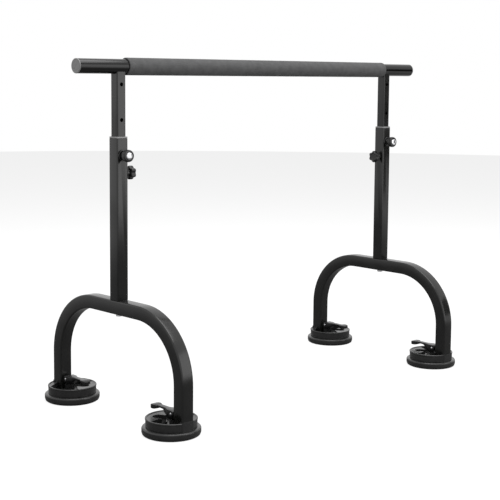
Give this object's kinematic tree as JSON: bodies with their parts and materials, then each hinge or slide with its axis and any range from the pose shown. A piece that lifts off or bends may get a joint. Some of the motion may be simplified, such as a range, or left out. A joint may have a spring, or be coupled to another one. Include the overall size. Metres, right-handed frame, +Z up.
{
  "type": "portable ballet barre",
  "caption": "Free-standing ballet barre on two arched stands with telescoping masts, a padded round barre and lever suction feet.",
  "frame": {"origin": "on the floor, midway between the two stands, under the barre", "axes": "+X along the barre, +Z up; the side with the two pull knobs faces -Y"},
  "size_m": [1.1378, 0.4978, 0.8107],
  "materials": {
    "charcoal_coat": "satin powder coat, charcoal",
    "gloss_black": "gloss black coat",
    "black_plastic": "satin black moulding",
    "grey_plastic": "light grey moulding",
    "black_rubber": "soft black rubber",
    "foam_grey": "closed-cell foam, fine matt skin",
    "steel": "zinc-plated",
    "chrome": "polished"
  },
  "bodies": {
    "base": {"base_arch_left": "charcoal_coat", "outer_post_left": "charcoal_coat", "guide_collar_left": "grey_plastic", "post_spigot_left": "steel", "post_bolt_left": "steel", "pin_barrel_left": "black_plastic", "clamp_boss_left": "charcoal_coat", "base_arch_right": "charcoal_coat", "outer_post_right": "charcoal_coat", "guide_collar_right": "grey_plastic", "post_spigot_right": "steel", "post_bolt_right": "steel", "pin_barrel_right": "black_plastic", "clamp_boss_right": "charcoal_coat", "suction_cup_left_front": "black_rubber", "cup_cover_left_front": "black_plastic", "leg_plug_left_front": "black_plastic", "suction_cup_left_back": "black_rubber", "cup_cover_left_back": "black_plastic", "leg_plug_left_back": "black_plastic", "suction_cup_right_front": "black_rubber", "cup_cover_right_front": "black_plastic", "leg_plug_right_front": "black_plastic", "suction_cup_right_back": "black_rubber", "cup_cover_right_back": "black_plastic", "leg_plug_right_back": "black_plastic"},
    "upper_frame": {"barre_tube": "gloss_black", "foam_sleeve": "foam_grey", "end_cap_left": "grey_plastic", "end_cap_right": "grey_plastic", "mast_left": "charcoal_coat", "mast_right": "charcoal_coat"},
    "pull_pin_left": {"pull_pin_left": "steel", "pull_knob_left": "black_plastic", "knob_cap_left": "chrome", "pin_spring_left": "steel"},
    "clamp_pad_left": {"pressure_pad_left": "grey_plastic"},
    "clamp_knob_left": {"star_knob_left": "black_plastic", "clamp_screw_left": "steel"},
    "pull_pin_right": {"pull_pin_right": "steel", "pull_knob_right": "black_plastic", "knob_cap_right": "chrome", "pin_spring_right": "steel"},
    "clamp_pad_right": {"pressure_pad_right": "grey_plastic"},
    "clamp_knob_right": {"star_knob_right": "black_plastic", "clamp_screw_right": "steel"},
    "cup_rod_left_front": {"pull_rod_left_front": "steel"},
    "cup_lever_left_front": {"cup_lever_left_front": "black_plastic", "lever_pin_left_front": "steel"},
    "cup_rod_left_back": {"pull_rod_left_back": "steel"},
    "cup_lever_left_back": {"cup_lever_left_back": "black_plastic", "lever_pin_left_back": "steel"},
    "cup_rod_right_front": {"pull_rod_right_front": "steel"},
    "cup_lever_right_front": {"cup_lever_right_front": "black_plastic", "lever_pin_right_front": "steel"},
    "cup_rod_right_back": {"pull_rod_right_back": "steel"},
    "cup_lever_right_back": {"cup_lever_right_back": "black_plastic", "lever_pin_right_back": "steel"}
  },
  "joints": [
    {"name": "height_slide", "type": "slide", "parent": "base", "child": "upper_frame", "axis": [0, 0, 1], "range_m": [-0.0785, 0.157]},
    {"name": "pin_pull_left", "type": "slide", "parent": "base", "child": "pull_pin_left", "axis": [0, -1, 0], "range_m": [-0.0034, 0], "deforming": ["pin_spring_left"]},
    {"name": "clamp_pad_slide_left", "type": "slide", "parent": "base", "child": "clamp_pad_left", "axis": [1, 0, 0], "range_m": [0, 0.00252]},
    {"name": "clamp_turn_left", "type": "hinge", "parent": "clamp_pad_left", "child": "clamp_knob_left", "pos_m": [-0.4273, 0, 0.554], "axis": [1, 0, 0], "range_deg": [0, 720]},
    {"name": "pin_pull_right", "type": "slide", "parent": "base", "child": "pull_pin_right", "axis": [0, -1, 0], "range_m": [-0.0034, 0], "deforming": ["pin_spring_right"]},
    {"name": "clamp_pad_slide_right", "type": "slide", "parent": "base", "child": "clamp_pad_right", "axis": [-1, 0, 0], "range_m": [0, 0.00252]},
    {"name": "clamp_turn_right", "type": "hinge", "parent": "clamp_pad_right", "child": "clamp_knob_right", "pos_m": [0.4273, 0, 0.554], "axis": [-1, 0, 0], "range_deg": [0, 720]},
    {"name": "cup_rod_slide_left_front", "type": "slide", "parent": "base", "child": "cup_rod_left_front", "axis": [0, 0, 1], "range_m": [-0.00401, 0]},
    {"name": "cup_lever_lift_left_front", "type": "hinge", "parent": "cup_rod_left_front", "child": "cup_lever_left_front", "pos_m": [-0.4575, -0.19485, 0.048], "axis": [1, 0, 0], "range_deg": [0, 80]},
    {"name": "cup_rod_slide_left_back", "type": "slide", "parent": "base", "child": "cup_rod_left_back", "axis": [0, 0, 1], "range_m": [-0.00401, 0]},
    {"name": "cup_lever_lift_left_back", "type": "hinge", "parent": "cup_rod_left_back", "child": "cup_lever_left_back", "pos_m": [-0.4575, 0.19485, 0.048], "axis": [-1, 0, 0], "range_deg": [0, 80]},
    {"name": "cup_rod_slide_right_front", "type": "slide", "parent": "base", "child": "cup_rod_right_front", "axis": [0, 0, 1], "range_m": [-0.00401, 0]},
    {"name": "cup_lever_lift_right_front", "type": "hinge", "parent": "cup_rod_right_front", "child": "cup_lever_right_front", "pos_m": [0.4575, -0.19485, 0.048], "axis": [1, 0, 0], "range_deg": [0, 80]},
    {"name": "cup_rod_slide_right_back", "type": "slide", "parent": "base", "child": "cup_rod_right_back", "axis": [0, 0, 1], "range_m": [-0.00401, 0]},
    {"name": "cup_lever_lift_right_back", "type": "hinge", "parent": "cup_rod_right_back", "child": "cup_lever_right_back", "pos_m": [0.4575, 0.19485, 0.048], "axis": [-1, 0, 0], "range_deg": [0, 80]}
  ],
  "couplings": [
    {"joint": "clamp_pad_slide_left", "follows": "clamp_turn_left", "m_per_rad": 0.00019894},
    {"joint": "clamp_pad_slide_right", "follows": "clamp_turn_right", "m_per_rad": 0.00019894},
    {"joint": "cup_rod_slide_left_front", "follows": "cup_lever_lift_left_front", "m_per_rad": -0.0028648},
    {"joint": "cup_rod_slide_left_back", "follows": "cup_lever_lift_left_back", "m_per_rad": -0.0028648},
    {"joint": "cup_rod_slide_right_front", "follows": "cup_lever_lift_right_front", "m_per_rad": -0.0028648},
    {"joint": "cup_rod_slide_right_back", "follows": "cup_lever_lift_right_back", "m_per_rad": -0.0028648}
  ]
}
